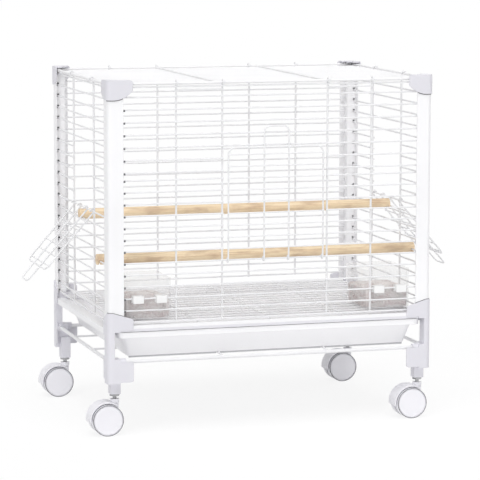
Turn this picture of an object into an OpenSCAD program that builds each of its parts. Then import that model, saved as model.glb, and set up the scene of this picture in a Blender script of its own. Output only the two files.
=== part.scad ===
// Rolling bird cage: wire panels held by four corner posts, on a base with
// a slide out tray, two perches, two feeders and four twin wheel casters.
// The floor is z = 0 and the origin is under the middle of the cage.

/* [Cage] */
// Width over the outer faces of the posts
cage_w = 470; // [440:2:520]
// Depth over the outer faces of the posts
cage_d = 330; // [300:2:380]
// Height of the top of the corner caps above the floor
cage_h = 490; // [486:1:520]

/* [Posts] */
// Width of each face of a post
post_w = 15; // [14:0.5:17]
// Radius of the outer corner of a post
post_r = 6; // [4:0.5:7]
// Wall of a post
post_wall = 1.6; // [1.2:0.1:1.8]
// How far a post's two flanges reach along its outer faces, past the post
flange_len = 7; // [5:0.5:8]
// Thickness of a post's flanges
flange_t = 1.2; // [0.8:0.1:1.4]

/* [Wires] */
// Diameter of the horizontal wires of the panels
wire_d = 2.4; // [2:0.1:2.6]
// Diameter of the upright wires of the panels
upright_d = 2.8; // [2.4:0.1:3]
// Diameter of the wire round the edge of the roof
edge_d = 3.2; // [2.8:0.1:3.4]
// Depth from the outer face of a post to the middle of the panel wires
wire_inset = 4.5; // [4.4:0.1:5]
// How deep two crossing wires are welded into each other
weld = 0.5; // [0.3:0.1:0.6]
// Play between a wire and what it hooks round or slides in
wire_gap = 0.3; // [0.25:0.05:0.4]

/* [Front panel] */
// Height of the lowest wire of every panel
panel_z0 = 156.7; // [156.2:0.1:158]
// Pitch of the lower front wires
front_pitch = 16.3; // [15.8:0.1:16.6]
// Pitch of the upper front wires
front_pitch_high = 17.3; // [17:0.1:17.5]
// Step between the two groups of front wires
front_step = 10.2; // [9:0.1:11]

/* [Front door] */
// Left edge of the front door
door_x0 = -63.5; // [-66:0.5:-58]
// Right edge of the front door
door_x1 = 74.5; // [68:0.5:76]
// Left side of the front door's handle loop
door_loop_x0 = -11.5; // [-20:0.5:-5]
// Right side of the front door's handle loop
door_loop_x1 = 24.3; // [18:0.5:32]
// Height of the front door from its hinge wire
door_len = 156; // [152:0.5:157]
// How far the door's handle loop stands past the door
door_loop_len = 29; // [24:0.5:32]

/* [Side hatches] */
// Pitch of the side wires
side_pitch = 16.3; // [16:0.1:16.6]
// Width of a side hatch
hatch_w = 112; // [104:1:112]
// Length of a side hatch from its hinge wire
hatch_len = 105; // [100:1:110]
// Width of the hatch's handle loop
hatch_loop_w = 38; // [30:1:50]
// How far the hatch's handle loop stands past the hatch
hatch_loop_len = 27; // [20:1:30]
// Angle from closed at which the hatches stand open
hatch_open = 138.6; // [120:0.1:142]

/* [Back panel] */
// Pitch of the back wires
back_pitch = 17.7; // [17.3:0.1:17.8]

/* [Roof and floor] */
// Pitch of the roof wires
roof_pitch = 16.2; // [15:0.1:17]
// Place of the two braces across the roof, left and right of its middle
roof_brace_x = 78; // [60:1:100]
// Pitch of the floor wires
floor_pitch = 20; // [18:1:24]

/* [Perches] */
// Diameter of the perches
perch_d = 15; // [12:0.5:16]
// Place along Y of the upper perch
perch_upper_y = 5; // [-10:1:20]
// Place along Y of the lower perch
perch_lower_y = -97; // [-110:1:-95]
// Height of the middle of the upper perch over the wire that it rests on
perch_upper_rise = 5.3; // [2:0.1:5.5]
// Height of the middle of the lower perch over the wire that it rests on
perch_lower_rise = 2.3; // [2:0.1:5.5]

/* [Feeders] */
// Width of a feeder cup
cup_w = 69; // [60:1:70]
// Depth of a feeder cup
cup_d = 83; // [70:1:90]
// Height of a feeder cup
cup_h = 57; // [50:1:60]
// Wall of a feeder cup
cup_wall = 2; // [1.5:0.1:3]
// Depth of the seed in a cup
seed_h = 31; // [20:1:34]

/* [Corner caps] */
// Thickness of the plates of caps and brackets
plate_t = 1.5; // [1.2:0.1:1.8]
// Reach of a front cap's front wing from the post's outer face
cap_front = 35; // [32:0.5:38]
// Reach of a back cap's rear wing from the post's outer face
cap_back = 26; // [24:0.5:30]
// Reach of a cap's side wing from the post's outer face
cap_side = 29; // [26:0.5:32]
// Height of a cap at the corner
cap_h = 27; // [25:0.5:30]
// Height of a cap at the end of its front wing
cap_end_h = 14; // [12:0.5:16]
// Height of a cap at the end of its side wing
cap_side_end_h = 18; // [14:0.5:20]

/* [Leg brackets] */
// Height of the underside of a bracket above the floor
bracket_z0 = 72.5; // [72:0.5:74]
// Height of the top of a bracket above the floor
bracket_z1 = 171; // [169:0.5:174]
// Reach of a bracket's front wings from the post's outer face
bracket_front = 35; // [33:0.5:38]
// Reach of a bracket's side wings from the post's outer face
bracket_side = 23; // [21:0.5:25]
// How far a bracket's top edge falls from the corner to the ends of its wings
bracket_fall = 8; // [6:0.5:9]

/* [Rails and rack] */
// Width of a base rail
rail_w = 12; // [11:0.5:13]
// Height of a base rail
rail_h = 8.5; // [8:0.5:9]
// Wall of a base rail
rail_wall = 1.2; // [1:0.1:1.5]
// Diameter of the rods round the edge of the tray rack
rod_d = 5; // [4:0.5:5.5]

/* [Tray] */
// Height of the tray
tray_h = 36; // [32:0.5:36.5]
// Wall of the tray
tray_wall = 2; // [1.5:0.1:2.5]
// How far the tray's walls lean in at the bottom
tray_lean = 14.5; // [10:0.5:16]
// Width of the tray's rim
tray_lip = 4.5; // [4:0.5:8]
// Height of the tray's rim
tray_rim_h = 8; // [6:0.5:10]

/* [Casters] */
// Radius of the wheels
wheel_r = 22; // [20:0.5:22.5]
// Width of one wheel
wheel_t = 10.5; // [9:0.5:12]
// How far a wheel's axle trails its swivel stem
trail = 12.5; // [10:0.5:13]
// Diameter of the axles
axle_d = 4; // [3:0.5:5]
// Diameter of the pin that a caster swivels on
pintle_d = 5.2; // [4.8:0.1:5.6]
// Thickness of the caster's middle web
web_t = 9; // [8.5:0.5:10]

/* [Hidden] */
$fn = 48;

// Colours
powder = [0.96, 0.96, 0.97];
lilac = [0.88, 0.88, 0.91];
tray_white = [0.94, 0.94, 0.97];
pine = [0.85, 0.70, 0.50];
grain = [0.72, 0.66, 0.62];
steel = [0.62, 0.62, 0.64];
clear = [0.90, 0.93, 0.95, 0.4];

// Between pieces that rest on or plug into each other
seat = 0.2;
// Round a pin that turns in its bore
run = 0.05;
// How far a cutter stands past what it cuts
over = 1;
// Part of a full turn that a wire hook makes
hook_turn = 240;

// Outer faces of the posts, and the middle of the panels' rows of wire
half_w = cage_w / 2;
half_d = cage_d / 2;
row_x = half_w - wire_inset;
row_y = half_d - wire_inset;

// Uprights stand behind the rows, sunk into them by the weld, and hook round the roof's edge
upright_back = (wire_d + upright_d) / 2 - weld;
hook_r = (edge_d + upright_d) / 2 + wire_gap;
edge_inset = wire_inset + upright_back - hook_r;
// Rows end inside the posts, this far from the posts' outer faces
row_grip = 5;
row_end_inset = post_w - row_grip;
// A row enters its post through a hole that is open over the wire by this
entry_rise = 2;

// Levels of the roof, whose edge hangs in the hooks
cap_t = 2;
edge_z = cage_h - hook_r - upright_d / 2 - wire_gap;
post_top = edge_z - edge_d / 2 - wire_gap;
roof_wire_z = edge_z - (edge_d + wire_d) / 2 + weld;
top_row_z = roof_wire_z - wire_d - wire_gap;
roof_margin = 10;

// Rows of the front panel in two groups, with the door's gap between two of its uprights
front_low_count = 13;
front_high_z = panel_z0 + (front_low_count - 1) * front_pitch + front_step;
front_high_count = floor((top_row_z - front_high_z - wire_d) / front_pitch_high) + 1;
front_rows = concat(
  [for (k = [0 : front_low_count - 1]) panel_z0 + k * front_pitch],
  [for (k = [0 : front_high_count - 1]) front_high_z + k * front_pitch_high],
  [top_row_z]
);
door_row = 5;
door_z = front_rows[door_row];
door_top_row = front_low_count + 2;
front_uprights = [-137, -71, 82, 147];
door_uprights = [1, 2];
short_row_drop = 4.2;

// Rows of the side panels, whose hatch turns about one row and reaches up to another
side_first = 12.9;
side_count = floor((top_row_z - panel_z0 - side_first) / side_pitch) + 1;
side_rows = concat(
  [panel_z0],
  [for (k = [0 : side_count - 1]) panel_z0 + side_first + k * side_pitch]
);
hatch_row = 9;
hatch_z = side_rows[hatch_row];
hatch_top_row = 15;
side_uprights = [-60, 60];

// Rows of the back panel, the first this far above the other panels' lowest row
back_first = 9.4;
back_count = floor((top_row_z - panel_z0 - back_first - wire_d) / back_pitch) + 1;
back_rows = concat(
  [for (k = [0 : back_count - 1]) panel_z0 + back_first + k * back_pitch],
  [top_row_z]
);
back_uprights = [-150, -77, 66, 140];

// Doors: hinge eyes round a row, with thin cross wires on the outside
eye_gap = 0.4;
eye_r = wire_d + eye_gap;
cross_d = 2;
cross_y = -eye_r - (wire_d + cross_d) / 2 + weld;
flap_corner = 10;
flap_margin = 5;
loop_corner = 8;

// Base levels, from the rack up to the floor grid
rack_z = 102.4;
rack_wire_d = 2.8;
rack_wire_z = rack_z + (rod_d + rack_wire_d) / 2 - weld;
rack_wire_end = 1;
rack_wires_x = [-72, 82];
rack_wires_y = [-55, 55];
tray_z0 = rack_wire_z + rack_wire_d / 2 + seat;
front_rail_z = 144.5;
side_rail_z = 138.5;
floor_low_z = front_rail_z + rail_h + seat + wire_d / 2;
floor_high_z = floor_low_z + wire_d - weld;
floor_top = floor_high_z + wire_d / 2;
floor_side_gap = 2;
floor_rest = 5;
floor_reach_x = half_w - post_w - flange_len - floor_side_gap;
floor_reach_y = half_d - rail_w + floor_rest;
floor_margin = 8;
floor_bars = 5;

// Corner plates stand proud of the posts by their thickness and a gap
skin = plate_t + seat;
cap_flat = 8;
cap_corner_r = 4;
cap_edge_r = 0.5;
cap_shelf = 4;

// The posts' flanges start just over the front and back rails
flange_rise = 2;
flange_z0 = front_rail_z + rail_h + flange_rise;

// Leg bracket: a sleeve round the post's foot, a leg in the corner that leaves
// the tray its way out, a block for the caster, and two wings on each outer face
column_in = post_w + seat + plate_t;
post_foot = front_rail_z;
leg_w = 8.5;
block_top = 107;
wing_root = post_w / 2;
wing_r = 3;
wing_edge_r = 1.5;
upper_wing_z = 147;
lower_wing_z = 74.5;
lower_wing_h = 28.5;
side_upper_z = 139;
side_lower_z = 78;
side_lower_h = 32;

// What the bracket holds: rail ends, rack rods and the caster's stem
root = 1;
plug_len = 12;
boss_wall = 2.5;
boss_len = 8;
stub_w = 14;
stub_top = 88;
stub_rise = 13;
stub_z0 = 2 * wheel_r + stub_rise;
stem_u = 12;
stem_v = 16;
shank_d = 7.8;
shank_len = 27;

// Tray rim, with its play beside the side rails and behind the base's front
tray_side_gap = 1.3;
tray_end_gap = 2;
tray_corner = 10;
tray_foot_r = 2.5;

// Casters, whose axles trail towards the left
hood_rise = 6;
hood_top = 2 * wheel_r + hood_rise;
nut_d = 14;
nut_h = 3;
pintle_reach = 14;
wheel_play = 0.5;
wheel_in = web_t / 2 + wheel_play;
boss_drop = 5;
boss_d = 13;
neck_wall = 2;
neck_back = 4;
web_drop = 13;
guard_gap = 1.5;
guard_t = 1.7;
guard_r = wheel_r + guard_gap + guard_t;
guard_short = 2;
guard_half = wheel_in + wheel_t - guard_short;
guard_lean = 32;
guard_edge = 10.4;
axle_short = 2.4;
axle_half = wheel_in + wheel_t - axle_short;

// Wheel: bevelled at its rim, with a narrow groove round its outer face
rim_edge = 0.6;
rim_w = 1.2;
rim_groove = 0.8;
rim_groove_depth = 2;

// Feeders stand on the floor grid and clip over a front row
cup_z0 = floor_top + wire_gap;
cup_side_gap = 25;
cup_inner_x = half_w - cup_side_gap - cup_w;
cup_front_gap = 5;
cup_y0 = -row_y + upright_back + upright_d / 2 + cup_front_gap;
cup_corner = 7;
clip_row = 2;
clip_w = 15;
clip_t = 2;
clip_drop = 8;
clip_insets = [18, 51];

// Perches: their ends pass the side panels' wires by this, on these rows
perch_end = 4;
perch_upper_row = 8;
perch_lower_row = 5;

// Mirrors a shape drawn for the front left corner to the corner sx, sy
module corner(sx, sy) {
  translate([sx * half_w, sy * half_d, 0])
    mirror([sx > 0 ? 1 : 0, 0, 0])
      mirror([0, sy > 0 ? 1 : 0, 0])
        children();
}

module wire_x(x0, x1, y, z, d) {
  translate([x0, y, z])
    rotate([0, 90, 0])
      cylinder(h = x1 - x0, d = d);
}

module wire_y(x, y0, y1, z, d) {
  translate([x, y0, z])
    rotate([-90, 0, 0])
      cylinder(h = y1 - y0, d = d);
}

module wire_z(x, y, z0, z1, d) {
  translate([x, y, z0])
    cylinder(h = z1 - z0, d = d);
}

// Hook round a wire along X: goes on from an upright end at y = r, over the top
module hook_x(r, d) {
  rotate([90, 0, 90])
    rotate_extrude(angle = hook_turn)
      translate([r, 0])
        circle(d = d);
}

module quarter_bend(r, d) {
  rotate([90, 0, 0])
    rotate_extrude(angle = 90)
      translate([r, 0])
        circle(d = d);
}

// Bent wire with two legs and round corners, in the XZ plane
module hoop(x0, x1, z1, r, d) {
  wire_z(x0, 0, 0, z1 - r, d);
  wire_z(x1, 0, 0, z1 - r, d);
  wire_x(x0 + r, x1 - r, 0, z1, d);
  translate([x1 - r, 0, z1 - r])
    quarter_bend(r, d);
  translate([x0 + r, 0, z1 - r])
    mirror([1, 0, 0])
      quarter_bend(r, d);
}

// Plate whose top edge falls towards its end, with its far corners rounded
module falling_outline(len, h, fall) {
  wing_outline(len, h - fall, wing_edge_r, wing_r);
  polygon([[0, h - fall - wing_r], [len - wing_r, h - fall - wing_r], [len - wing_r, h - fall],
    [0, h]]);
}

// Plate outline with its two far corners rounded, at r0 below and r1 above
module wing_outline(len, h, r0, r1) {
  difference() {
    square([len, h]);
    translate([len - r1, h - r1])
      difference() {
        square(r1 + over);
        circle(r1);
      }
    translate([len - r0, 0])
      difference() {
        translate([0, -over])
          square(r0 + over);
        translate([0, r0])
          circle(r0);
      }
  }
}

// Stands an outline drawn in u and z up as a plate on the front face
module front_plate() {
  translate([0, -seat, 0])
    rotate([90, 0, 0])
      linear_extrude(plate_t)
        children();
}

// Stands an outline drawn in v and z up as a plate on the side face
module side_plate() {
  mirror([1, -1, 0])
    front_plate()
      children();
}

// Square with one round corner, grown by g on the outside
module post_outline(g) {
  size = post_w + 2 * g;
  translate([-g, -g])
    difference() {
      square(size);
      difference() {
        translate([-over, -over])
          square(post_r + g + over);
        translate([post_r + g, post_r + g])
          circle(post_r + g);
      }
    }
}

module post_tube() {
  difference() {
    post_outline(0);
    post_outline(-post_wall);
  }
}

// Flange that carries on one outer face, in front of the wires' ends
module post_flange() {
  translate([post_w - post_wall, 0])
    square([post_wall + flange_len, flange_t]);
}

module post_flanged() {
  post_tube();
  post_flange();
  mirror([1, -1])
    post_flange();
}

// Holes through the post's inner wall, one for the end of each row
module entry_holes(rows) {
  reach = wire_d / 2 + wire_gap;
  for (z = rows)
    translate([post_w - post_wall - over, wire_inset - reach, z - reach])
      cube([post_wall + 2 * over, 2 * reach, reach + wire_d / 2 + entry_rise]);
}

module post(sx, sy) {
  color(powder)
    corner(sx, sy)
      difference() {
        union() {
          translate([0, 0, post_foot])
            linear_extrude(flange_z0 - post_foot)
              post_tube();
          translate([0, 0, flange_z0])
            linear_extrude(post_top - flange_z0)
              post_flanged();
        }
        entry_holes(sy < 0 ? front_rows : back_rows);
        mirror([1, -1, 0])
          entry_holes(side_rows);
      }
}

// Face of a cap: level at the corner and swept up along a round underside
module cap_outline(reach, corner_h, end_h) {
  rise = corner_h - end_h;
  run_out = reach - cap_flat;
  sweep_r = (run_out * run_out + rise * rise) / (2 * rise);
  intersection() {
    translate([-skin, 0])
      wing_outline(reach + skin, corner_h, cap_edge_r, cap_corner_r);
    union() {
      translate([-skin, 0])
        square([cap_flat + skin, corner_h]);
      translate([cap_flat, sweep_r])
        circle(sweep_r, $fn = 96);
    }
  }
}

module cap(sx, sy) {
  reach = sy < 0 ? cap_front : cap_back;
  color(lilac)
    corner(sx, sy) {
      translate([0, 0, cage_h - cap_h])
        difference() {
          union() {
            front_plate()
              cap_outline(reach, cap_h, cap_end_h);
            side_plate()
              cap_outline(cap_side, cap_h, cap_side_end_h);
            linear_extrude(cap_h)
              intersection() {
                difference() {
                  post_outline(skin);
                  post_outline(seat);
                }
                translate([-skin, -skin])
                  square(post_r + skin);
              }
            translate([0, 0, cap_h - cap_t])
              linear_extrude(cap_t)
                cap_top(reach);
          }
          cap_corner_cut();
        }
    }
}

// Top of a cap: over the post and along both wings
module cap_top(reach) {
  shelf = wire_inset + cap_shelf + skin;
  translate([-skin, -skin]) {
    square([post_w + 2 * skin, post_w + 2 * skin]);
    square([reach + skin - cap_corner_r, shelf]);
    square([shelf, cap_side + skin - cap_corner_r]);
  }
}

// Takes the square outer edge of the crossed plates back to the round corner
module cap_corner_cut() {
  translate([0, 0, -over])
    linear_extrude(cap_h + 2 * over)
      difference() {
        translate([-skin - over, -skin - over])
          square(post_r + skin + over);
        translate([post_r, post_r])
          circle(post_r + skin);
      }
}

// Sleeve round the post's foot
module bracket_sleeve(z0, z1) {
  translate([0, 0, z0])
    linear_extrude(z1 - z0)
      difference() {
        post_outline(skin);
        post_outline(seat);
      }
}

// Round corner between a bracket's two upper plates
module bracket_corner(z0, z1) {
  translate([0, 0, z0])
    linear_extrude(z1 - z0)
      intersection() {
        difference() {
          post_outline(skin);
          post_outline(seat);
        }
        translate([-skin, -skin])
          square(post_r + skin + root);
      }
}

// Solid leg in the corner, between the caster's block and the sleeve
module bracket_leg(z0, z1) {
  translate([0, 0, z0])
    linear_extrude(z1 - z0)
      intersection() {
        post_outline(skin);
        translate([-skin, -skin])
          square([leg_w + skin, post_w + 2 * skin]);
      }
}

// Block that takes the caster stem
module bracket_foot() {
  translate([0, 0, bracket_z0])
    linear_extrude(block_top - bracket_z0)
      post_outline(skin);
  translate([stem_u - stub_w / 2, stem_v - stub_w / 2, stub_z0])
    cube([stub_w, stub_w, stub_top - stub_z0]);
}

module rail_plug(z) {
  inset = rail_wall + seat;
  translate([column_in - root, seat / 2 + inset, z + inset])
    cube([plug_len + root, rail_w - 2 * inset, rail_h - 2 * inset]);
}

// Socket for the end of a rack rod
module rod_boss() {
  translate([column_in - root, wire_inset, rack_z])
    rotate([0, 90, 0])
      cylinder(h = boss_len + root, d = rod_d + 2 * boss_wall);
}

module rod_bore() {
  translate([column_in, wire_inset, rack_z])
    rotate([0, 90, 0])
      cylinder(h = boss_len + over, d = rod_d + 2 * seat);
}

module bracket(sx, sy) {
  color(lilac)
    corner(sx, sy)
      difference() {
        union() {
          bracket_foot();
          bracket_leg(block_top - root, post_foot - seat);
          bracket_sleeve(post_foot - seat, flange_z0 - seat);
          bracket_corner(flange_z0 - seat - root, bracket_z1);
          translate([post_r, 0, upper_wing_z])
            front_plate()
              falling_outline(bracket_front - post_r, bracket_z1 - upper_wing_z, bracket_fall);
          translate([wing_root, 0, lower_wing_z])
            front_plate()
              wing_outline(bracket_front - wing_root, lower_wing_h, wing_r, wing_r);
          translate([0, post_r, side_upper_z])
            side_plate()
              falling_outline(bracket_side - post_r, bracket_z1 - side_upper_z, bracket_fall);
          translate([0, wing_root, side_lower_z])
            side_plate()
              wing_outline(bracket_side - wing_root, side_lower_h, wing_r, wing_r);
          rail_plug(front_rail_z);
          mirror([1, -1, 0])
            rail_plug(side_rail_z);
          rod_boss();
          mirror([1, -1, 0])
            rod_boss();
        }
        rod_bore();
        mirror([1, -1, 0])
          rod_bore();
        translate([stem_u, stem_v, stub_z0 - over])
          cylinder(h = shank_len + over + seat, d = shank_d + 2 * seat);
      }
}

// Rows across the front or back, split where a door's gap is
module row_with_gap(z, gap, gap_x0, gap_x1) {
  x_end = half_w - row_end_inset;
  if (gap) {
    wire_x(-x_end, gap_x0 + upright_d / 2, 0, z, wire_d);
    wire_x(gap_x1 - upright_d / 2, x_end, 0, z, wire_d);
  } else {
    wire_x(-x_end, x_end, 0, z, wire_d);
  }
}

module hooked_uprights(xs, z0) {
  for (x = xs) {
    wire_z(x, upright_back, z0 - wire_d / 2, edge_z, upright_d);
    translate([x, upright_back - hook_r, edge_z])
      hook_x(hook_r, upright_d);
  }
}

module front_panel() {
  gap_x0 = front_uprights[door_uprights[0]];
  gap_x1 = front_uprights[door_uprights[1]];
  color(powder)
    translate([0, -row_y, 0]) {
      for (i = [0 : len(front_rows) - 1])
        row_with_gap(front_rows[i], i > door_row && i < door_top_row, gap_x0, gap_x1);
      wire_x(front_uprights[0], gap_x0, 0, top_row_z - short_row_drop, wire_d);
      wire_x(gap_x1, front_uprights[3], 0, top_row_z - short_row_drop, wire_d);
      hooked_uprights(front_uprights, panel_z0);
    }
}

module back_panel() {
  x_end = half_w - row_end_inset;
  color(powder)
    translate([0, row_y, 0])
      mirror([0, 1, 0]) {
        for (z = back_rows)
          wire_x(-x_end, x_end, 0, z, wire_d);
        hooked_uprights(back_uprights, back_rows[0]);
      }
}

// Side panel, drawn along X with its outside towards the front
module side_panel(sx) {
  x_end = half_d - row_end_inset;
  color(powder)
    translate([sx * row_x, 0, 0])
      rotate([0, 0, sx * 90]) {
        for (i = [0 : len(side_rows) - 1])
          if (i > hatch_row && i < hatch_top_row) {
            wire_x(-x_end, side_uprights[0] + upright_d / 2, 0, side_rows[i], wire_d);
            wire_x(side_uprights[1] - upright_d / 2, x_end, 0, side_rows[i], wire_d);
          } else {
            wire_x(-x_end, x_end, 0, side_rows[i], wire_d);
          }
        hooked_uprights(side_uprights, panel_z0);
      }
}

module roof_panel() {
  edge_x = half_w - edge_inset;
  edge_y = half_d - edge_inset;
  rows = floor((edge_y - roof_margin) / roof_pitch);
  color(powder) {
    for (s = [-1, 1]) {
      wire_x(-edge_x, edge_x, s * edge_y, edge_z, edge_d);
      wire_y(s * edge_x, -edge_y, edge_y, edge_z, edge_d);
      wire_y(s * roof_brace_x, -edge_y, edge_y, edge_z, wire_d);
      for (t = [-1, 1])
        translate([s * edge_x, t * edge_y, edge_z])
          sphere(d = edge_d);
    }
    for (k = [-rows : rows])
      wire_x(-edge_x, edge_x, k * roof_pitch, roof_wire_z, wire_d);
  }
}

module floor_grid() {
  rows = floor((floor_reach_y - floor_margin) / floor_pitch);
  color(powder) {
    for (i = [0 : floor_bars - 1])
      wire_y(floor_reach_x * (2 * i / (floor_bars - 1) - 1), -floor_reach_y, floor_reach_y,
        floor_low_z, wire_d);
    for (k = [-rows : rows])
      wire_x(-floor_reach_x, floor_reach_x, k * floor_pitch, floor_high_z, wire_d);
  }
}

// Hollow rail between two brackets, drawn along X
module rail(len, z) {
  translate([-len / 2, seat / 2, z])
    difference() {
      cube([len, rail_w, rail_h]);
      translate([-over, rail_wall, rail_wall])
        cube([len + 2 * over, rail_w - 2 * rail_wall, rail_h - 2 * rail_wall]);
    }
}

module rail_along_x(sy) {
  color(powder)
    translate([0, sy * half_d, 0])
      mirror([0, sy > 0 ? 1 : 0, 0])
        rail(cage_w - 2 * column_in - 2 * seat, front_rail_z);
}

module rail_along_y(sx) {
  color(powder)
    translate([sx * half_w, 0, 0])
      rotate([0, 0, sx * 90])
        rail(cage_d - 2 * column_in - 2 * seat, side_rail_z);
}

module tray_rack() {
  rod_x = half_w - column_in - seat;
  rod_y = half_d - column_in - seat;
  color(powder) {
    for (s = [-1, 1]) {
      wire_x(-rod_x, rod_x, s * row_y, rack_z, rod_d);
      wire_y(s * row_x, -rod_y, rod_y, rack_z, rod_d);
    }
    for (x = rack_wires_x)
      wire_y(x, -row_y - rack_wire_end, row_y + rack_wire_end, rack_wire_z, rack_wire_d);
    for (y = rack_wires_y)
      wire_x(-row_x - rack_wire_end, row_x + rack_wire_end, y, rack_wire_z - rack_wire_d + weld,
        rack_wire_d);
  }
}

// Block with round corners whose four walls lean in towards the bottom
module leaning_block(w, d, h, lean, foot_r) {
  corner_r = foot_r + lean;
  rotate([90, 0, 0])
    linear_extrude(d - 2 * corner_r, center = true)
      polygon([[-w / 2 + lean, 0], [w / 2 - lean, 0], [w / 2, h], [-w / 2, h]]);
  rotate([90, 0, 90])
    linear_extrude(w - 2 * corner_r, center = true)
      polygon([[-d / 2 + lean, 0], [d / 2 - lean, 0], [d / 2, h], [-d / 2, h]]);
  for (sx = [-1, 1], sy = [-1, 1])
    translate([sx * (w / 2 - corner_r), sy * (d / 2 - corner_r), 0])
      cylinder(h = h, r1 = foot_r, r2 = corner_r);
}

// Rim that turns down round the outside of the tray
module tray_rim(w, d) {
  difference() {
    rounded_block(w, d, tray_rim_h, tray_corner);
    translate([tray_wall, tray_wall, -over])
      rounded_block(w - 2 * tray_wall, d - 2 * tray_wall, tray_rim_h - tray_wall + over,
        tray_corner - tray_wall);
  }
}

module tray() {
  w = cage_w - 2 * rail_w - seat - 2 * tray_side_gap;
  d = cage_d - 2 * tray_end_gap;
  tub_w = w - 2 * tray_lip;
  tub_d = d - 2 * tray_lip;
  slope = tray_lean / tray_h;
  hollow_h = tray_h - tray_wall + over;
  hollow_lean = hollow_h * slope;
  hollow_w = tub_w - 2 * tray_wall + 2 * over * slope;
  hollow_d = tub_d - 2 * tray_wall + 2 * over * slope;
  hollow_foot_r = tray_foot_r - tray_wall * (1 - slope);
  color(tray_white)
    translate([0, 0, tray_z0])
      difference() {
        union() {
          leaning_block(tub_w, tub_d, tray_h, tray_lean, tray_foot_r);
          translate([-w / 2, -d / 2, tray_h - tray_rim_h])
            tray_rim(w, d);
        }
        translate([0, 0, tray_wall])
          leaning_block(hollow_w, hollow_d, hollow_h, hollow_lean, hollow_foot_r);
      }
}

// Wire door that turns about a row along X, drawn closed with the hinge at z = 0
module flap(x0, x1, flap_len, loop_x0, loop_x1, loop_len, pitch) {
  crosses = floor((flap_len - flap_margin) / pitch);
  for (x = [x0, loop_x0, loop_x1, x1])
    translate([x, 0, 0])
      rotate([180, 0, 0])
        hook_x(eye_r, wire_d);
  translate([0, -eye_r, 0]) {
    hoop(x0, x1, flap_len, flap_corner, wire_d);
    hoop(loop_x0, loop_x1, flap_len + loop_len, loop_corner, wire_d);
  }
  for (k = [1 : crosses])
    wire_x(x0 - wire_d / 2, x1 + wire_d / 2, cross_y, k * pitch, cross_d);
}

module front_door() {
  color(powder)
    translate([0, -row_y, door_z])
      flap(door_x0, door_x1, door_len, door_loop_x0, door_loop_x1, door_loop_len, front_pitch);
}

module side_hatch(sx) {
  color(powder)
    translate([sx * row_x, 0, hatch_z])
      rotate([0, 0, sx * 90])
        rotate([hatch_open, 0, 0])
          flap(-hatch_w / 2, hatch_w / 2, hatch_len, -hatch_loop_w / 2, hatch_loop_w / 2,
            hatch_loop_len, side_pitch);
}

// Round perch that sits on a row of both side panels in notched ends
module perch(y, row, rise) {
  rest_z = side_rows[row] + wire_d / 2 + wire_gap;
  mid_z = side_rows[row] + rise;
  color(pine)
    difference() {
      wire_x(-row_x - perch_end, row_x + perch_end, y, mid_z, perch_d);
      for (s = [-1, 1])
        translate([s * row_x - wire_d / 2 - wire_gap, y - perch_d, mid_z - perch_d])
          cube([wire_d + 2 * wire_gap, 2 * perch_d, rest_z - mid_z + perch_d]);
    }
}

module rounded_block(w, d, h, r) {
  linear_extrude(h) {
    translate([r, 0])
      square([w - 2 * r, d]);
    translate([0, r])
      square([w, d - 2 * r]);
    for (x = [r, w - r], y = [r, d - r])
      translate([x, y])
        circle(r);
  }
}

// Places a feeder piece drawn for the right side from its inner front corner
module feeder_at(sx) {
  mirror([sx > 0 ? 0 : 1, 0, 0])
    translate([cup_inner_x, cup_y0, cup_z0])
      children();
}

module feeder_cup(sx) {
  color(clear)
    feeder_at(sx)
      difference() {
        rounded_block(cup_w, cup_d, cup_h, cup_corner);
        translate([cup_wall, cup_wall, cup_wall])
          rounded_block(cup_w - 2 * cup_wall, cup_d - 2 * cup_wall, cup_h, cup_corner - cup_wall);
      }
}

module seed(sx) {
  inset = cup_wall + seat;
  color(grain)
    feeder_at(sx)
      translate([inset, inset, inset])
        rounded_block(cup_w - 2 * inset, cup_d - 2 * inset, seed_h, cup_corner - inset);
}

// Two hooks on a cup's front wall that drop over a front row
module feeder_clips(sx) {
  row_rel_z = front_rows[clip_row] - cup_z0;
  row_rel_y = -row_y - cup_y0;
  arm_z = row_rel_z + wire_d / 2 + wire_gap;
  front_y = row_rel_y - wire_d / 2 - wire_gap - clip_t;
  color(powder)
    feeder_at(sx)
      for (x = clip_insets)
        translate([x - clip_w / 2, 0, 0]) {
          translate([0, front_y, arm_z])
            cube([clip_w, -front_y - seat, clip_t]);
          translate([0, front_y, arm_z - clip_drop])
            cube([clip_w, clip_t, clip_drop]);
          translate([0, -clip_t - seat, arm_z - clip_drop])
            cube([clip_w, clip_t, clip_drop]);
        }
}

// Puts a caster piece on the swivel axis of a corner
module caster_at(sx, sy) {
  translate([sx * (half_w - stem_u), sy * (half_d - stem_v), 0])
    children();
}

module stem(sx, sy) {
  color(steel)
    caster_at(sx, sy) {
      translate([0, 0, hood_top - pintle_reach])
        cylinder(h = stub_z0 - nut_h - hood_top + pintle_reach, d = pintle_d);
      translate([0, 0, stub_z0 - nut_h - seat / 2])
        cylinder(h = nut_h, d = nut_d, $fn = 6);
      translate([0, 0, stub_z0 - root])
        cylinder(h = shank_len + root, d = shank_d);
    }
}

// Half space over the wheels that the mud guard keeps to
module guard_side() {
  rotate([0, -guard_lean, 0])
    translate([-2 * guard_r, -2 * guard_r, guard_edge])
      cube([4 * guard_r, 4 * guard_r, 2 * guard_r]);
}

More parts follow.
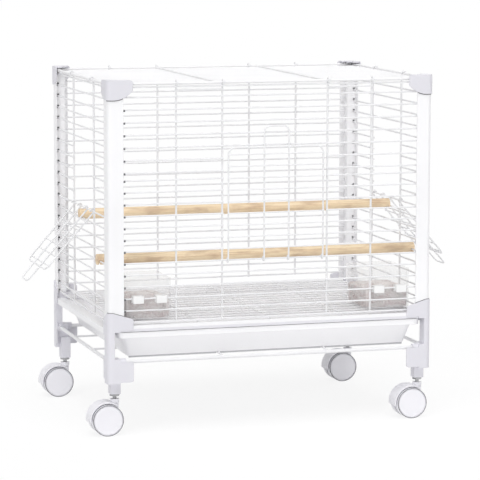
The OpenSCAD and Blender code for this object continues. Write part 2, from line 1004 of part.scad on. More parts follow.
module hood(sx, sy) {
  boss_z = hood_top - boss_drop;
  color(lilac)
    caster_at(sx, sy)
      difference() {
        union() {
          translate([-trail, 0, wheel_r])
            rotate([90, 0, 0])
              cylinder(h = web_t, r = web_drop, center = true);
          translate([-trail - neck_back, -web_t / 2, wheel_r])
            cube([trail + neck_back + pintle_d / 2 + neck_wall, web_t, boss_z + root - wheel_r]);
          translate([0, 0, boss_z])
            cylinder(h = boss_drop, d = boss_d);
          translate([-trail, 0, wheel_r])
            intersection() {
              rotate([90, 0, 0])
                union() {
                  difference() {
                    cylinder(h = 2 * guard_half, r = guard_r, center = true);
                    cylinder(h = 2 * guard_half + over, r = guard_r - guard_t, center = true);
                  }
                  cylinder(h = web_t, r = guard_r - guard_t / 2, center = true);
                }
              guard_side();
            }
        }
        translate([0, 0, hood_top - pintle_reach - seat])
          cylinder(h = pintle_reach + seat + over, d = pintle_d + 2 * run);
        translate([-trail, 0, wheel_r])
          rotate([90, 0, 0])
            cylinder(h = web_t + 2 * over, d = axle_d + 2 * run, center = true);
      }
}

module axle(sx, sy) {
  color(steel)
    caster_at(sx, sy)
      translate([-trail, 0, wheel_r])
        rotate([90, 0, 0])
          cylinder(h = 2 * axle_half, d = axle_d, center = true);
}

// Wheel with a blind hub and a groove round its face, side -1 or 1 along Y
module wheel(sx, sy, side) {
  groove_r1 = wheel_r - rim_w;
  groove_r0 = groove_r1 - rim_groove;
  bore_r = axle_d / 2 + run;
  bore_t = axle_half - wheel_in + wire_gap;
  color(lilac)
    caster_at(sx, sy)
      translate([-trail, side * wheel_in, wheel_r])
        rotate([side > 0 ? -90 : 90, 0, 0])
          rotate_extrude($fn = 96)
            polygon([
              [bore_r, 0], [wheel_r - rim_edge, 0], [wheel_r, rim_edge],
              [wheel_r, wheel_t - rim_edge], [wheel_r - rim_edge, wheel_t], [groove_r1, wheel_t],
              [groove_r1, wheel_t - rim_groove_depth], [groove_r0, wheel_t - rim_groove_depth],
              [groove_r0, wheel_t], [0, wheel_t], [0, bore_t], [bore_r, bore_t]
            ]);
}

post(-1, -1);  // post_front_left
post(1, -1);  // post_front_right
post(-1, 1);  // post_back_left
post(1, 1);  // post_back_right
cap(-1, -1);  // cap_front_left
cap(1, -1);  // cap_front_right
cap(-1, 1);  // cap_back_left
cap(1, 1);  // cap_back_right
bracket(-1, -1);  // bracket_front_left
bracket(1, -1);  // bracket_front_right
bracket(-1, 1);  // bracket_back_left
bracket(1, 1);  // bracket_back_right
front_panel();
back_panel();
side_panel(-1);  // left_panel
side_panel(1);  // right_panel
roof_panel();
floor_grid();
rail_along_x(-1);  // rail_front
rail_along_x(1);  // rail_back
rail_along_y(-1);  // rail_left
rail_along_y(1);  // rail_right
tray_rack();
tray();
front_door();
side_hatch(-1);  // left_hatch
side_hatch(1);  // right_hatch
perch(perch_upper_y, perch_upper_row, perch_upper_rise);  // perch_upper
perch(perch_lower_y, perch_lower_row, perch_lower_rise);  // perch_lower
feeder_cup(-1);  // feeder_cup_left
feeder_cup(1);  // feeder_cup_right
seed(-1);  // seed_left
seed(1);  // seed_right
feeder_clips(-1);  // feeder_clips_left
feeder_clips(1);  // feeder_clips_right
stem(-1, -1);  // stem_front_left
stem(1, -1);  // stem_front_right
stem(-1, 1);  // stem_back_left
stem(1, 1);  // stem_back_right
hood(-1, -1);  // hood_front_left
hood(1, -1);  // hood_front_right
hood(-1, 1);  // hood_back_left
hood(1, 1);  // hood_back_right
axle(-1, -1);  // axle_front_left
axle(1, -1);  // axle_front_right
axle(-1, 1);  // axle_back_left
axle(1, 1);  // axle_back_right
wheel(-1, -1, -1);  // wheel_front_left_a
wheel(-1, -1, 1);  // wheel_front_left_b
wheel(1, -1, -1);  // wheel_front_right_a
wheel(1, -1, 1);  // wheel_front_right_b
wheel(-1, 1, -1);  // wheel_back_left_a
wheel(-1, 1, 1);  // wheel_back_left_b
wheel(1, 1, -1);  // wheel_back_right_a
wheel(1, 1, 1);  // wheel_back_right_b
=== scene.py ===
import math
import random

import bmesh
import bpy
from mathutils import Matrix, Vector


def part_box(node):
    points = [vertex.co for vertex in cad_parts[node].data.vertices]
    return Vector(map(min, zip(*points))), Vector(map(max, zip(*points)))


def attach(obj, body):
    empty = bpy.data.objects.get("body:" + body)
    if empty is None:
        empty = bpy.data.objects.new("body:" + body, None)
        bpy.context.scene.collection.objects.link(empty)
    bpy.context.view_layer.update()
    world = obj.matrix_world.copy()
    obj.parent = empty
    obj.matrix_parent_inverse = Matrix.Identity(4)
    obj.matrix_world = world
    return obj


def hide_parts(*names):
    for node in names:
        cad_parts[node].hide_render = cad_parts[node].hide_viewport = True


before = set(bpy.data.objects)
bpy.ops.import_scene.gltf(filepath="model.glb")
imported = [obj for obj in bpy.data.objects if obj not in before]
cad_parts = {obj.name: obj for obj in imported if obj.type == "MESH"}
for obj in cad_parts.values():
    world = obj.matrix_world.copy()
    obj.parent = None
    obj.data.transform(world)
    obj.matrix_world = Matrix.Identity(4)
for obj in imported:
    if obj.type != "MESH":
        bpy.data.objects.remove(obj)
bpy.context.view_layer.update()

MM = 0.001
CORNERS = ("front_left", "front_right", "back_left", "back_right")
SIDES = ("left", "right")
HEAP_SEED = 11

# The camera stands left of the front and a little above it. Its angles are in degrees,
# and its lens and sensor in millimetres.
CAMERA_PLACE = (-1.0879, -3.5505, 0.7333)
CAMERA_YAW = 17.088
CAMERA_PITCH = 7.515
CAMERA_ROLL = 0.121
CAMERA_LENS = 193.65
CAMERA_SENSOR = 36
CAMERA_RANGE = (0.1, 100)

# Light: a weak sky, two lamps from the front left that pick out round corners, a low one
# from the front right that reaches under the cage, one from above, and a soft one from
# behind. Each lamp is a name, a strength, and in degrees its azimuth from the front towards
# the right, its elevation and its spread.
SKY_LIGHT = 0.38
LAMPS = (
    ("key", 0.30, -50, 42, 16),
    ("low", 0.60, -40, 5, 20),
    ("fill", 0.30, 20, 4, 14),
    ("top", 1.50, -10, 72, 45),
    ("back", 0.50, 130, 15, 60),
)

# The floor passes light on as its plain colour. Where it is seen, it takes only a share of
# the light, so that it keeps the cage's shadow, and its glow makes up the rest of the white.
FLOOR_COLOUR = 0.90
FLOOR_SHADOW_SHARE = 0.17
LAMP_LIGHT = sum(power * math.sin(math.radians(rise)) for _, power, _, rise, _ in LAMPS)
FLOOR_LIGHT = SKY_LIGHT + LAMP_LIGHT / math.pi
FLOOR_GLOW = 1.0 - FLOOR_SHADOW_SHARE * FLOOR_LIGHT
FLOOR_REACH = 14
SEEN = ("Is Camera Ray", "Is Glossy Ray", "Is Transmission Ray")

WHITE_COAT = (0.865, 0.865, 0.88)
# The wires' white coat painted lighter: painted light on the level roof and floor grid
PAINTED_LIGHT_COAT = (0.945, 0.943, 0.955)
POST_COAT = (0.955, 0.953, 0.97)
LILAC = (0.77, 0.762, 0.814)
TRAY_LILAC = (0.982, 0.978, 0.998)
WHEEL_LILAC = (0.90, 0.893, 0.935)
CLIP_WHITE = (0.93, 0.93, 0.93)
# Dark for painted shade and shadow in slots, gaps and joints
SHADE_DARK = (0.16, 0.16, 0.17)
# Grey for the painted shadow under the tray's front edge
TRAY_SHADOW_GREY = (0.56, 0.56, 0.58)
# Greyer tone for the painted shade on the front rail's lower half
RAIL_SHADE_GREY = (0.80, 0.795, 0.84)
CUP_ALPHA = 0.15

# Sizes of the CAD in millimetres: the posts' round edge, the front panel's rows, a front
# cap's swept edge, a front bracket's sloped edge, and the wires under the tray
POST_R = 6.0
PANEL_Z0 = 156.7
FRONT_PITCH, FRONT_PITCH_HIGH = 16.3, 17.3
FRONT_STEP = 10.2
FRONT_LOW_COUNT, FRONT_HIGH_COUNT = 13, 6
CAP_FLAT, CAP_RUN, CAP_RISE = 8.0, 27.0, 13.0
BRACKET_RUN, BRACKET_FALL = 26.0, 8.0
RACK_WIRES_X = (-72, 82)

# Plain trim in millimetres that paints shade and shadow: dark blocks at the ends of the front
# rows, dark strips along the front caps' and brackets' edges, dark rings on the wheel covers,
# a grey strip under the tray and a greyer band on the front rail. A pair is a low and a high
# bound, counted from the edge, row or face that the trim sits on, and the tray strip's Y pair
# from the middle of the cage. The cap and bracket strips' runs go round a post's corner and
# along its front.
SLOT_SHADE_X, SLOT_SHADE_Y, SLOT_SHADE_Z = (-0.2, 2.6), (0.3, 1.6), (-1.9, 0.8)
SHADOW_STRIP_RUNS = (*range(-6, 21, 2), 21.8)
SHADOW_STRIP_REACH = (0.05, 0.55)
CAP_SHADOW_Z, BRACKET_SHADOW_Z = (-1.2, 0.1), (-0.1, 0.8)
TRAY_SHADOW_HALF_W, TRAY_SHADOW_GAP = 201, 3
TRAY_SHADOW_Y, TRAY_SHADOW_Z = (-143.9, -141.5), (-2.3, -0.05)
RAIL_SHADE_INSET = 0.6
RAIL_SHADE_Y, RAIL_SHADE_Z = (-0.15, 0.1), (0.1, 3.8)
LINE_RADII = (21.1, 21.75)
LINE_PROUD, LINE_DEEP = 0.12, 0.5
RING_COUNT = 64


class Shader:
    """A node material whose nodes are added and joined by name of socket."""

    def __init__(self, name):
        self.material = bpy.data.materials.new(name)
        self.material.use_nodes = True
        self.tree = self.material.node_tree
        self.surface = self.tree.nodes["Principled BSDF"]
        self.output = self.tree.nodes["Material Output"]

    def add(self, kind, **settings):
        """New node; a setting is one of its properties or the value of one of its sockets."""
        node = self.tree.nodes.new("ShaderNode" + kind)
        for key, value in settings.items():
            if hasattr(node, key):
                setattr(node, key, value)
            else:
                node.inputs[key.replace("_", " ")].default_value = value
        return node

    def join(self, source, target, source_socket=0, target_socket=0):
        self.tree.links.new(source.outputs[source_socket], target.inputs[target_socket])

    def place(self, scale=(1, 1, 1), shift=(0, 0, 0)):
        """Object coordinates, less shift and then scaled."""
        where = self.add("TexCoord")
        moved = self.add("VectorMath", operation="SUBTRACT")
        moved.inputs[1].default_value = shift
        self.join(where, moved, "Object")
        scaled = self.add("VectorMath", operation="MULTIPLY")
        scaled.inputs[1].default_value = scale
        self.join(moved, scaled)
        return scaled

    def noise(self, where, scale=1, detail=3, roughness=0.5):
        node = self.add("TexNoise", Scale=scale, Detail=detail, Roughness=roughness)
        self.join(where, node, 0, "Vector")
        return node

    def ramp(self, source, stops, socket=0):
        """Colour ramp over source; stops are (place, colour)."""
        node = self.add("ValToRGB")
        elements = node.color_ramp.elements
        while len(elements) < len(stops):
            elements.new(0.5)
        for element, (position, colour) in zip(elements, stops):
            element.position = position
            element.color = (*colour, 1)
        self.join(source, node, socket)
        return node

    def mix(self, factor, first, second):
        """Mix of two colour nodes by factor."""
        node = self.add("MixRGB")
        for number, source in enumerate((factor, first, second)):
            self.join(source, node, 0, number)
        return node

    def bump(self, height, depth, strength=1.0, over=None):
        """Bumps of a depth in metres, over another normal where one is given."""
        node = self.add("Bump", Strength=strength, Distance=depth)
        self.join(height, node, 0, "Height")
        if over is not None:
            self.join(over, node, 0, "Normal")
        return node

    def spread(self, source, low, high):
        """Value of source, 0 to 1, taken to low to high."""
        node = self.add("MapRange", To_Min=low, To_Max=high)
        self.join(source, node, 0, "Value")
        return node

    def finish(self, colour, roughness, normal):
        """Joins what the surface takes, and returns the material."""
        self.join(colour, self.surface, 0, "Base Color")
        self.join(roughness, self.surface, 0, "Roughness")
        self.join(normal, self.surface, 0, "Normal")
        return self.material


def shade(colour, share):
    return tuple(value * share for value in colour)


def grey(level):
    return (level, level, level)


def coat(name, colour, grain, depth, rough, edge=0.0006, shine=0.42):
    """Powder coat or moulded plastic: faint clouding, fine grain and softened edges."""
    shader = Shader(name)
    where = shader.place()
    clouds = shader.noise(where, scale=14, detail=4)
    colours = shader.ramp(clouds, [(0.3, shade(colour, 0.965)), (0.7, colour)])
    fine = shader.noise(where, grain, detail=2, roughness=0.6)
    gloss = shader.spread(fine, rough - 0.05, rough + 0.08)
    rounded = shader.add("Bevel", samples=4, Radius=edge)
    normal = shader.bump(fine, depth, strength=0.6, over=rounded)
    shader.surface.inputs["Specular IOR Level"].default_value = shine
    return shader.finish(colours, gloss, normal)


def dark_shade_surface(name, colour):
    """Smooth dark surface with a fine grain, for painted shade and shadow."""
    shader = Shader(name)
    fine = shader.noise(shader.place(), scale=900, detail=2)
    colours = shader.ramp(fine, [(0.3, shade(colour, 0.8)), (0.7, colour)])
    return shader.finish(colours, shader.spread(fine, 0.45, 0.65), shader.bump(fine, 0.00005))


def steel(name, axis_scale):
    """Zinc plated steel with fine turning marks across the axis that axis_scale stretches."""
    shader = Shader(name)
    marks = shader.noise(shader.place(axis_scale), roughness=0.65)
    patches = shader.noise(shader.place(), scale=60)
    base = shader.ramp(patches, [(0.3, (0.26, 0.26, 0.27)), (0.7, (0.40, 0.40, 0.41))])
    shader.surface.inputs["Metallic"].default_value = 1.0
    return shader.finish(base, shader.spread(marks, 0.22, 0.42), shader.bump(marks, 0.00004))


def perch_wood(name, node):
    """Turned softwood: long streaks along the perch, growth rings at its ends, darker patches."""
    low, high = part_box(node)
    centre = (low + high) / 2
    shader = Shader(name)
    where = shader.place(shift=(0, centre.y, centre.z))
    bend = shader.noise(shader.place((5, 90, 90)), detail=2)
    bent = shader.add("VectorMath", operation="MULTIPLY_ADD")
    bent.inputs[1].default_value = (0.004, 0.0035, 0.0035)
    shader.join(bend, bent, "Color")
    shader.join(where, bent, 0, 2)
    rings = shader.add("TexWave", wave_type="RINGS", rings_direction="X", wave_profile="SAW",
                       Scale=95, Distortion=1.2, Detail=2.0, Detail_Scale=2.0)
    shader.join(bent, rings, 0, "Vector")
    streaks = shader.noise(shader.place((9, 620, 620)), detail=5, roughness=0.62)
    patches = shader.noise(shader.place((26, 90, 90), shift=(0.31, 0, 0)))
    pale = shader.ramp(rings, [(0.0, (0.96, 0.80, 0.575)), (0.75, (0.93, 0.745, 0.50)),
                               (1.0, (0.78, 0.57, 0.355))])
    dull = shader.ramp(streaks, [(0.34, (0.64, 0.44, 0.265)), (0.5, (0.93, 0.74, 0.505)),
                                 (0.72, (0.98, 0.83, 0.62))])
    share = shader.ramp(streaks, [(0.35, grey(0.75)), (0.7, grey(0.25))])
    both = shader.mix(share, pale, dull)
    brown = shader.ramp(streaks, [(0.3, (0.55, 0.375, 0.24)), (0.7, (0.75, 0.56, 0.385))])
    where_brown = shader.ramp(patches, [(0.50, grey(0)), (0.68, grey(0.85))])
    colours = shader.mix(where_brown, both, brown)
    rounded = shader.add("Bevel", samples=4, Radius=0.0007)
    normal = shader.bump(streaks, 0.00012, strength=0.6, over=rounded)
    return shader.finish(colours, shader.spread(streaks, 0.5, 0.72), normal)


def clear_plastic(name):
    """Thin clear moulded wall, faintly cloudy and scuffed."""
    shader = Shader(name)
    clouds = shader.noise(shader.place(), scale=30, detail=4)
    scuffs = shader.noise(shader.place((1, 1, 6)), scale=240, detail=4, roughness=0.7)
    colours = shader.ramp(clouds, [(0.3, (0.93, 0.935, 0.945)), (0.7, (0.98, 0.982, 0.985))])
    shader.surface.inputs["Alpha"].default_value = CUP_ALPHA
    gloss = shader.spread(scuffs, 0.06, 0.18)
    return shader.finish(colours, gloss, shader.bump(scuffs, 0.00003, strength=0.5))


def seed_grain(name):
    """Mixed seed, each grain with its own colour and a dull husk."""
    shader = Shader(name)
    island = shader.add("NewGeometry")
    pale = shader.ramp(island, [
        (0.0, (0.80, 0.72, 0.70)), (0.18, (0.94, 0.89, 0.87)), (0.38, (0.98, 0.95, 0.93)),
        (0.58, (0.92, 0.86, 0.85)), (0.78, (0.98, 0.96, 0.95)), (1.0, (0.96, 0.92, 0.92))],
        "Random Per Island")
    brown = shader.ramp(island, [
        (0.0, (0.56, 0.43, 0.43)), (0.3, (0.86, 0.75, 0.74)), (0.6, (0.68, 0.55, 0.55)),
        (1.0, (0.94, 0.86, 0.85))], "Random Per Island")
    drifts = shader.noise(shader.place((60, 60, 130)), roughness=0.6)
    where_brown = shader.ramp(drifts, [(0.44, grey(0)), (0.60, grey(0.9))])
    colours = shader.mix(where_brown, pale, brown)
    husk = shader.noise(shader.place(), scale=1400)
    return shader.finish(colours, shader.spread(husk, 0.55, 0.8), shader.bump(husk, 0.00015))


def dress():
    """Gives every CAD node its material, and returns the materials by node."""
    thin_coat = {"grain": 950, "depth": 0.00005, "rough": 0.30, "edge": 0.0002}
    wire = coat("powder_coat_wire", WHITE_COAT, **thin_coat)
    # The level roof and floor grid take the white coat painted lighter, as painted light
    painted_lit_wire = coat("powder_coat_wire_painted_lighter", PAINTED_LIGHT_COAT, **thin_coat)
    post = coat("powder_coat_post", POST_COAT, grain=700, depth=0.00006, rough=0.34)
    corner = coat("corner_plastic", LILAC, grain=1300, depth=0.00004, rough=0.42)
    tray = coat("tray_plastic", TRAY_LILAC, grain=800, depth=0.00004, rough=0.28,
                edge=0.0012, shine=0.8)
    wheel = coat("wheel_plastic", WHEEL_LILAC, grain=1200, depth=0.00003, rough=0.33)
    clip = coat("clip_plastic", CLIP_WHITE, grain=900, depth=0.00003, rough=0.35)
    upright_steel = steel("plated_steel_stem", (300, 300, 4000))
    axle_steel = steel("plated_steel_axle", (300, 4000, 300))
    chosen = {
        "front_panel": wire, "back_panel": wire, "left_panel": wire, "right_panel": wire,
        "front_door": wire, "left_hatch": wire, "right_hatch": wire, "tray_rack": wire,
        "roof_panel": painted_lit_wire, "floor_grid": painted_lit_wire, "tray": tray,
        "rail_front": post, "rail_back": post, "rail_left": post, "rail_right": post,
        "perch_upper": perch_wood("wood_perch_upper", "perch_upper"),
        "perch_lower": perch_wood("wood_perch_lower", "perch_lower"),
    }
    cup = clear_plastic("clear_plastic")
    grain = seed_grain("seed_grain")
    for side in SIDES:
        chosen["feeder_cup_" + side] = cup
        chosen["feeder_clips_" + side] = clip
        chosen["seed_" + side] = grain
    for place in CORNERS:
        chosen["post_" + place] = post
        chosen["cap_" + place] = corner
        chosen["bracket_" + place] = corner
        chosen["stem_" + place] = upright_steel
        chosen["axle_" + place] = axle_steel
        for name in ("hood_" + place, f"wheel_{place}_a", f"wheel_{place}_b"):
            chosen[name] = wheel
    for name, material in chosen.items():
        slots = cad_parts[name].data.materials
        slots.clear()
        slots.append(material)
    return chosen


def linked_piece(name, mesh, material):
    """Object of a mesh with one material, put in the scene."""
    mesh.materials.append(material)
    piece = bpy.data.objects.new(name, mesh)
    bpy.context.scene.collection.objects.link(piece)
    return piece


def grain_shape():
    """Corners and faces of a small round body, for one grain of seed."""
    mesh = bmesh.new()
    bmesh.ops.create_icosphere(mesh, subdivisions=1, radius=1.0)
    corners = [vertex.co.copy() for vertex in mesh.verts]
    faces = [tuple(vertex.index for vertex in face.verts) for face in mesh.faces]
    mesh.free()
    return corners, faces


class Heap:
    """Loose grains that fill a block: some along its sides, and a low heap on its top."""
    shape = grain_shape()

    # Room for a grain along a row, and between the rows up the sides
    step = 2.3 * MM
    layer = 2.1 * MM

    # Half a grain's length and girth on the top and along the sides, and its flatness
    top_grain = (1.75 * MM, 1.05 * MM)
    side_grain = (1.7 * MM, 0.95 * MM)
    flatness = 0.85

    # Round corners of the block, depth of the heap's top, how far the grains' middles stay
    # from the walls at the top, in its corners and along the sides, and how far they sink
    corner_r = 5.5 * MM
    dip = 5 * MM
    top_margin = 1.9 * MM
    corner_margin = 1.6 * MM
    side_margin = 1.05 * MM
    sink = 1.0 * MM

    # Core under the grains: its depth below them, its foot, and its cells each way
    cover = 2.2 * MM
    core_foot = 0.4 * MM
    core_cells = 20

    def __init__(self, low, high, chance):
        self.low, self.high, self.size = low, high, high - low
        self.chance = chance
        self.corners = []
        self.faces = []

    def somewhere(self, number):
        """Place of a grain in its stretch of a row."""
        return (number + self.chance.uniform(0.1, 0.9)) * self.step

    def top_at(self, x, y):
        """Height of the heap's top, a low crown with waves."""
        across = (x - self.low.x) / self.size.x - 0.5
        along = (y - self.low.y) / self.size.y - 0.5
        crown = 0.35 + 1.3 * (across ** 2 + along ** 2)
        waves = math.sin(7.1 * across + 2.0) * math.cos(6.3 * along - 0.7)
        return self.high.z - self.dip * (crown - 0.22 * waves)

    def pulled_in(self, x, y, margin):
        return (min(max(x, self.low.x + margin), self.high.x - margin),
                min(max(y, self.low.y + margin), self.high.y - margin))

    def in_outline(self, x, y, margin):
        """Whether a point lies within the block's outline, whose corners are round."""
        middle = (self.low + self.high) / 2
        past_x = max(abs(x - middle.x) - self.size.x / 2 + self.corner_r, 0)
        past_y = max(abs(y - middle.y) - self.size.y / 2 + self.corner_r, 0)
        return math.hypot(past_x, past_y) <= self.corner_r - margin

    def grain(self, place, lie, tilt, length, girth):
        turn = Matrix.Rotation(lie, 3, "Z") @ Matrix.Rotation(tilt, 3, "Y")
        first = len(self.corners)
        for corner in self.shape[0]:
            stretched = Vector((corner.x * length, corner.y * girth,
                                corner.z * girth * self.flatness))
            self.corners.append(place + turn @ stretched)
        self.faces += [tuple(first + index for index in face) for face in self.shape[1]]

    def fill_top(self):
        for row in range(int(self.size.y / self.step)):
            for column in range(int(self.size.x / self.step)):
                x = self.low.x + self.somewhere(column)
                y = self.low.y + self.somewhere(row)
                x, y = self.pulled_in(x, y, self.top_margin)
                lie, tilt = self.chance.uniform(0, math.tau), self.chance.uniform(-0.5, 0.5)
                if self.in_outline(x, y, self.corner_margin):
                    place = Vector((x, y, self.top_at(x, y) - self.sink))
                    self.grain(place, lie, tilt, *self.top_grain)

    def fill_sides(self):
        for level in range(int((self.size.z - self.dip) / self.layer)):
            z = self.low.z + (level + 0.6) * self.layer
            for wall in range(4):
                self.fill_wall_row(wall, z)

    def fill_wall_row(self, wall, z):
        """One row of grains along the front, left, back or right side."""
        across = wall % 2 == 0
        span = self.size.x if across else self.size.y
        for number in range(int((span - 2 * self.corner_r) / self.step) + 1):
            along = self.corner_r + self.somewhere(number)
            deep = self.chance.uniform(1.0, 1.5) * MM
            if across:
                x = self.low.x + along
                y = self.low.y + deep if wall == 0 else self.high.y - deep
            else:
                y = self.low.y + along
                x = self.low.x + deep if wall == 1 else self.high.x - deep
            rise = self.chance.uniform(-0.5, 0.5) * MM
            place = Vector((*self.pulled_in(x, y, self.side_margin), z + rise))
            tilt = self.chance.uniform(-1.2, 1.2)
            self.grain(place, 0 if across else math.pi / 2, tilt, *self.side_grain)

    def fill_core(self):
        """Closed body under the grains, so that no light passes between them."""
        count = self.core_cells
        first = len(self.corners)
        for level in (0, 1):
            for row in range(count + 1):
                for column in range(count + 1):
                    x = self.low.x + self.cover + (self.size.x - 2 * self.cover) * column / count
                    y = self.low.y + self.cover + (self.size.y - 2 * self.cover) * row / count
                    z = self.top_at(x, y) - self.cover if level else self.low.z + self.core_foot
                    self.corners.append(Vector((x, y, z)))

        def corner(column, row, level):
            return first + level * (count + 1) ** 2 + row * (count + 1) + column

        for row in range(count):
            for column in range(count):
                cell = ((column, row), (column + 1, row), (column + 1, row + 1), (column, row + 1))
                self.faces.append(tuple(corner(*place, 1) for place in cell))
                self.faces.append(tuple(corner(*place, 0) for place in reversed(cell)))
        front = [(number, 0) for number in range(count)]
        right = [(count, number) for number in range(count)]
        back = [(count - number, count) for number in range(count)]
        left = [(0, count - number) for number in range(count)]
        rim = front + right + back + left
        for here, there in zip(rim, rim[1:] + rim[:1]):
            self.faces.append((corner(*here, 0), corner(*there, 0),
                               corner(*there, 1), corner(*here, 1)))


def seed_heap(side, material, chance):
    """Heap of seed in place of a feeder's plain block."""
    heap = Heap(*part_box("seed_" + side), chance)
    heap.fill_top()
    heap.fill_sides()
    heap.fill_core()
    mesh = bpy.data.meshes.new("seed_heap_" + side)
    mesh.from_pydata(heap.corners, [], heap.faces)
    mesh.shade_smooth()
    piece = linked_piece("seed_heap_" + side, mesh, material)
    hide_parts("seed_" + side)
    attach(piece, "feeder_" + side)


class Trim:
    """Small plain solids in millimetres, gathered in one piece that rides on a body."""

    def __init__(self):
        self.corners = []
        self.faces = []

    def box(self, xs, ys, zs):
        """Block between the low and the high bound of each pair."""
        first = len(self.corners)
        self.corners += [Vector((x, y, z)) * MM for z in zs for y in ys for x in xs]
        for face in ((0, 2, 3, 1), (4, 5, 7, 6), (0, 1, 5, 4),
                     (1, 3, 7, 5), (3, 2, 6, 7), (2, 0, 4, 6)):
            self.faces.append(tuple(first + index for index in face))

    def strip(self, inner, outer, z_low, z_high):
        """Upright wall between two runs of points in plan; z_low and z_high are per point."""
        first = len(self.corners)
        for near, far, low, high in zip(inner, outer, z_low, z_high):
            self.corners += [Vector((*near, low)) * MM, Vector((*far, low)) * MM,
                             Vector((*far, high)) * MM, Vector((*near, high)) * MM]
        for number in range(len(inner) - 1):
            here, there = first + 4 * number, first + 4 * number + 4
            for side in range(4):
                other = (side + 1) % 4
                self.faces.append((here + side, here + other, there + other, there + side))
        last = first + 4 * (len(inner) - 1)
        self.faces += [(first + 3, first + 2, first + 1, first),
                       (last, last + 1, last + 2, last + 3)]

    def ring(self, centre, radii, deep, side):
        """Flat ring about an axis along Y, deep from its outer face, side -1 or 1 along Y."""
        first = len(self.corners)
        for number in range(RING_COUNT):
            turn = math.tau * number / RING_COUNT
            for radius in radii:
                for y in (centre[1], centre[1] - side * deep):
                    x = centre[0] + radius * math.cos(turn)
                    z = centre[2] + radius * math.sin(turn)
                    self.corners.append(Vector((x, y, z)) * MM)
        for number in range(RING_COUNT):
            here, there = first + 4 * number, first + 4 * ((number + 1) % RING_COUNT)
            for one, other in ((0, 2), (2, 3), (3, 1), (1, 0)):
                self.faces.append((here + one, here + other, there + other, there + one))

    def piece(self, name, material, slot, body):
        mesh = bpy.data.meshes.new(name)
        mesh.from_pydata(self.corners, [], self.faces)
        shape = bmesh.new()
        shape.from_mesh(mesh)
        bmesh.ops.recalc_face_normals(shape, faces=shape.faces)
        shape.to_mesh(mesh)
        shape.free()
        piece = linked_piece(name, mesh, material)
        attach(piece, body)


def box_mm(node):
    """Lowest and highest corners of a CAD node in millimetres."""
    return [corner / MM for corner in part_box(node)]


def beside(place, pair):
    """Low and high bound of a pair that is counted from a place."""
    return tuple(place + bound for bound in pair)


def add_row_slot_shade(material):
    """Painted shade of the slots: a dark block at the front left post's edge before each front
    row's end.
    """
    # Each block paints the shade in the slot above a row's end
    clips = Trim()
    low, high = box_mm("post_front_left")
    high_z = PANEL_Z0 + FRONT_PITCH * (FRONT_LOW_COUNT - 1) + FRONT_STEP
    rows = [PANEL_Z0 + FRONT_PITCH * number for number in range(1, FRONT_LOW_COUNT)]
    rows += [high_z + FRONT_PITCH_HIGH * number for number in range(FRONT_HIGH_COUNT)]
    for row in rows:
        clips.box(beside(high.x, SLOT_SHADE_X), beside(low.y, SLOT_SHADE_Y), beside(row, SLOT_SHADE_Z))
    clips.piece("slot_shade_blocks", material, "clip_plastic", "cage")


def cap_edge(z, across):
    """Height of a front cap's lower edge, z near the corner and then swept up."""
    past = max(across - CAP_FLAT, 0)
    sweep_r = (CAP_RUN ** 2 + CAP_RISE ** 2) / (2 * CAP_RISE)
    return z + sweep_r - math.sqrt(sweep_r ** 2 - past ** 2)


def bracket_edge(z, across):
    """Height of a front bracket's upper edge, z at the corner and then sloped down."""
    return z - BRACKET_FALL * max(across - POST_R, 0) / BRACKET_RUN


def corner_point(run, reach):
    """Plan point from a post's outer corner, reach before its skin; run goes round the corner."""
    if run >= POST_R:
        return run, -reach
    if run <= -POST_R:
        return -reach, -run
    turn = math.pi / 4 * (1 - run / POST_R)
    return (POST_R - (POST_R + reach) * math.sin(turn),
            POST_R - (POST_R + reach) * math.cos(turn))


def corner_line(side, reach):
    """Plan points reach before a front post's skin, the left one's for side 1, else mirrored."""
    post = box_mm("post_front_left")[0]
    points = [corner_point(run, reach) for run in SHADOW_STRIP_RUNS]
    return [(side * (post.x + across), post.y + deep) for across, deep in points]


def add_cap_bracket_shadows(material):
    """Painted shadow in the gaps between the front posts and the edges of their caps and brackets.
    """
    strips = Trim()
    edges = ((cap_edge, box_mm("cap_front_left")[0].z, CAP_SHADOW_Z),
             (bracket_edge, box_mm("bracket_front_left")[1].z, BRACKET_SHADOW_Z))
    for side in (1, -1):
        inner, outer = (corner_line(side, reach) for reach in SHADOW_STRIP_REACH)
        for edge_at, edge_z, (low, high) in edges:
            heights = [edge_at(edge_z, max(run, 0)) for run in SHADOW_STRIP_RUNS]
            strips.strip(inner, outer, [z + low for z in heights], [z + high for z in heights])
    strips.piece("corner_shadow_strips", material, "corner_plastic", "cage")


def add_wheel_shadow_rings(material):
    """Painted shadow of the gap round the face of each wheel's cover, as a dark ring."""
    for place in CORNERS:
        for name, side in (("a", -1), ("b", 1)):
            wheel = f"wheel_{place}_{name}"
            low, high = box_mm(wheel)
            face = high.y if side > 0 else low.y
            centre = ((low.x + high.x) / 2, face + side * LINE_PROUD, (low.z + high.z) / 2)
            line = Trim()
            line.ring(centre, LINE_RADII, LINE_DEEP, side)
            line.piece("line_" + wheel, material, "caster_plastic", wheel)


def add_tray_painted_shadow(material):
    """Painted shadow of the tray's lower front edge, a grey strip, open where the rack's wires
    pass.
    """
    # A grey strip that paints the shadow under the tray's front edge
    foot = Trim()
    low, _ = box_mm("tray")
    gaps = [x + side * TRAY_SHADOW_GAP for x in RACK_WIRES_X for side in (-1, 1)]
    ends = [-TRAY_SHADOW_HALF_W, *gaps, TRAY_SHADOW_HALF_W]
    for span in zip(ends[0::2], ends[1::2]):
        foot.box(span, TRAY_SHADOW_Y, beside(low.z, TRAY_SHADOW_Z))
    foot.piece("painted_tray_shadow", material, "tray_plastic", "tray")


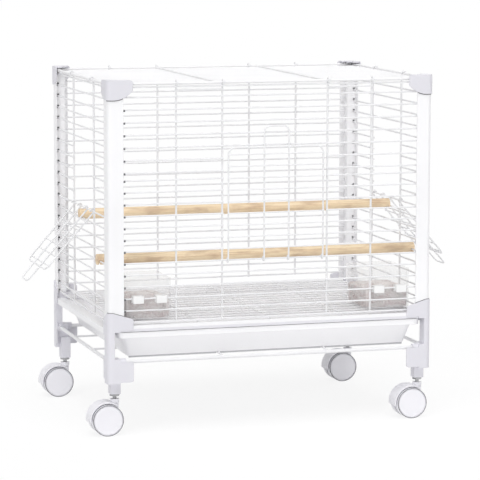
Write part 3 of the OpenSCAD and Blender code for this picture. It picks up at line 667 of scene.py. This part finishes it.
def add_rail_painted_shade(material):
    """Painted shade on the lower half of the front rail, a band of a greyer tone."""
    # A greyer band that paints the shade on the rail's lower part
    step = Trim()
    low, high = box_mm("rail_front")
    span = (low.x + RAIL_SHADE_INSET, high.x - RAIL_SHADE_INSET)
    step.box(span, beside(low.y, RAIL_SHADE_Y), beside(low.z, RAIL_SHADE_Z))
    step.piece("painted_rail_shade", material, "coated_posts", "cage")


def seen_ray(tree):
    """1 on rays that show what is behind the cage, else 0."""
    rays = tree.nodes.new("ShaderNodeLightPath")
    total = rays.outputs[SEEN[0]]
    for name in SEEN[1:]:
        both = tree.nodes.new("ShaderNodeMath")
        both.operation = "MAXIMUM"
        tree.links.new(total, both.inputs[0])
        tree.links.new(rays.outputs[name], both.inputs[1])
        total = both.outputs[0]
    return total


def make_floor():
    """Pale floor: white where it is seen and clear, greyer in the shadow of the cage."""
    shader = Shader("floor")
    shader.tree.nodes.remove(shader.surface)
    plain = shader.add("BsdfDiffuse", Color=(*grey(FLOOR_COLOUR), 1))
    caught = shader.add("BsdfDiffuse", Color=(*grey(FLOOR_SHADOW_SHARE), 1))
    glow = shader.add("Emission", Strength=FLOOR_GLOW)
    seen = shader.add("AddShader")
    shader.join(caught, seen)
    shader.join(glow, seen, 0, 1)
    choice = shader.add("MixShader")
    shader.tree.links.new(seen_ray(shader.tree), choice.inputs[0])
    shader.join(plain, choice, 0, 1)
    shader.join(seen, choice, 0, 2)
    shader.join(choice, shader.output)
    mesh = bpy.data.meshes.new("floor")
    corners = [(x, y, 0) for y in (-FLOOR_REACH, FLOOR_REACH) for x in (-FLOOR_REACH, FLOOR_REACH)]
    mesh.from_pydata(corners, [], [(0, 1, 3, 2)])
    floor = linked_piece("floor", mesh, shader.material)


def make_sky():
    """White backdrop that lights the cage only weakly."""
    world = bpy.data.worlds.new("sky")
    bpy.context.scene.world = world
    world.use_nodes = True
    tree = world.node_tree
    tree.nodes.clear()
    choice = tree.nodes.new("ShaderNodeMixShader")
    tree.links.new(seen_ray(tree), choice.inputs[0])
    for socket, strength in ((1, SKY_LIGHT), (2, 1.0)):
        background = tree.nodes.new("ShaderNodeBackground")
        background.inputs["Color"].default_value = (1, 1, 1, 1)
        background.inputs["Strength"].default_value = strength
        tree.links.new(background.outputs[0], choice.inputs[socket])
    output = tree.nodes.new("ShaderNodeOutputWorld")
    tree.links.new(choice.outputs[0], output.inputs[0])


def make_sun(name, strength, azimuth, elevation, spread):
    """Far lamp; azimuth 0 shines from the front and grows towards the right."""
    data = bpy.data.lights.new(name, "SUN")
    data.energy = strength
    data.angle = math.radians(spread)
    turn, rise = math.radians(azimuth), math.radians(elevation)
    level = math.cos(rise)
    towards = Vector((math.sin(turn) * level, -math.cos(turn) * level, math.sin(rise)))
    lamp = bpy.data.objects.new(name, data)
    lamp.rotation_mode = "QUATERNION"
    lamp.rotation_quaternion = towards.to_track_quat("Z", "Y")
    bpy.context.scene.collection.objects.link(lamp)


def make_camera():
    data = bpy.data.cameras.new("camera")
    data.lens = CAMERA_LENS
    data.sensor_width = CAMERA_SENSOR
    data.clip_start, data.clip_end = CAMERA_RANGE
    yaw, pitch, roll = (math.radians(angle) for angle in (CAMERA_YAW, CAMERA_PITCH, CAMERA_ROLL))
    turn = Matrix.Rotation(-yaw, 4, "Z") @ Matrix.Rotation(math.pi / 2 - pitch, 4, "X") @ \
        Matrix.Rotation(roll, 4, "Z")
    camera = bpy.data.objects.new("camera", data)
    camera.matrix_world = Matrix.Translation(CAMERA_PLACE) @ turn
    bpy.context.scene.collection.objects.link(camera)
    bpy.context.scene.camera = camera


make_camera()
materials = dress()
chance = random.Random(HEAP_SEED)
for side in SIDES:
    seed_heap(side, materials["seed_" + side], chance)
# Dark trim for painted shade: the rows' slots, the caps' and brackets' edges, the wheels' gaps
dark = dark_shade_surface("dark_for_painted_shade", SHADE_DARK)
add_row_slot_shade(dark)
add_cap_bracket_shadows(dark)
add_wheel_shadow_rings(dark)
# Painted shadow under the tray's front edge
add_tray_painted_shadow(coat("painted_tray_shadow", TRAY_SHADOW_GREY, grain=800, depth=0.00004, rough=0.4))
# Painted shade on the front rail's lower half
add_rail_painted_shade(coat("painted_rail_shade", RAIL_SHADE_GREY, grain=700, depth=0.00004, rough=0.4))
make_floor()
make_sky()
for lamp in LAMPS:
    make_sun(*lamp)
bpy.context.scene.view_settings.view_transform = "Standard"
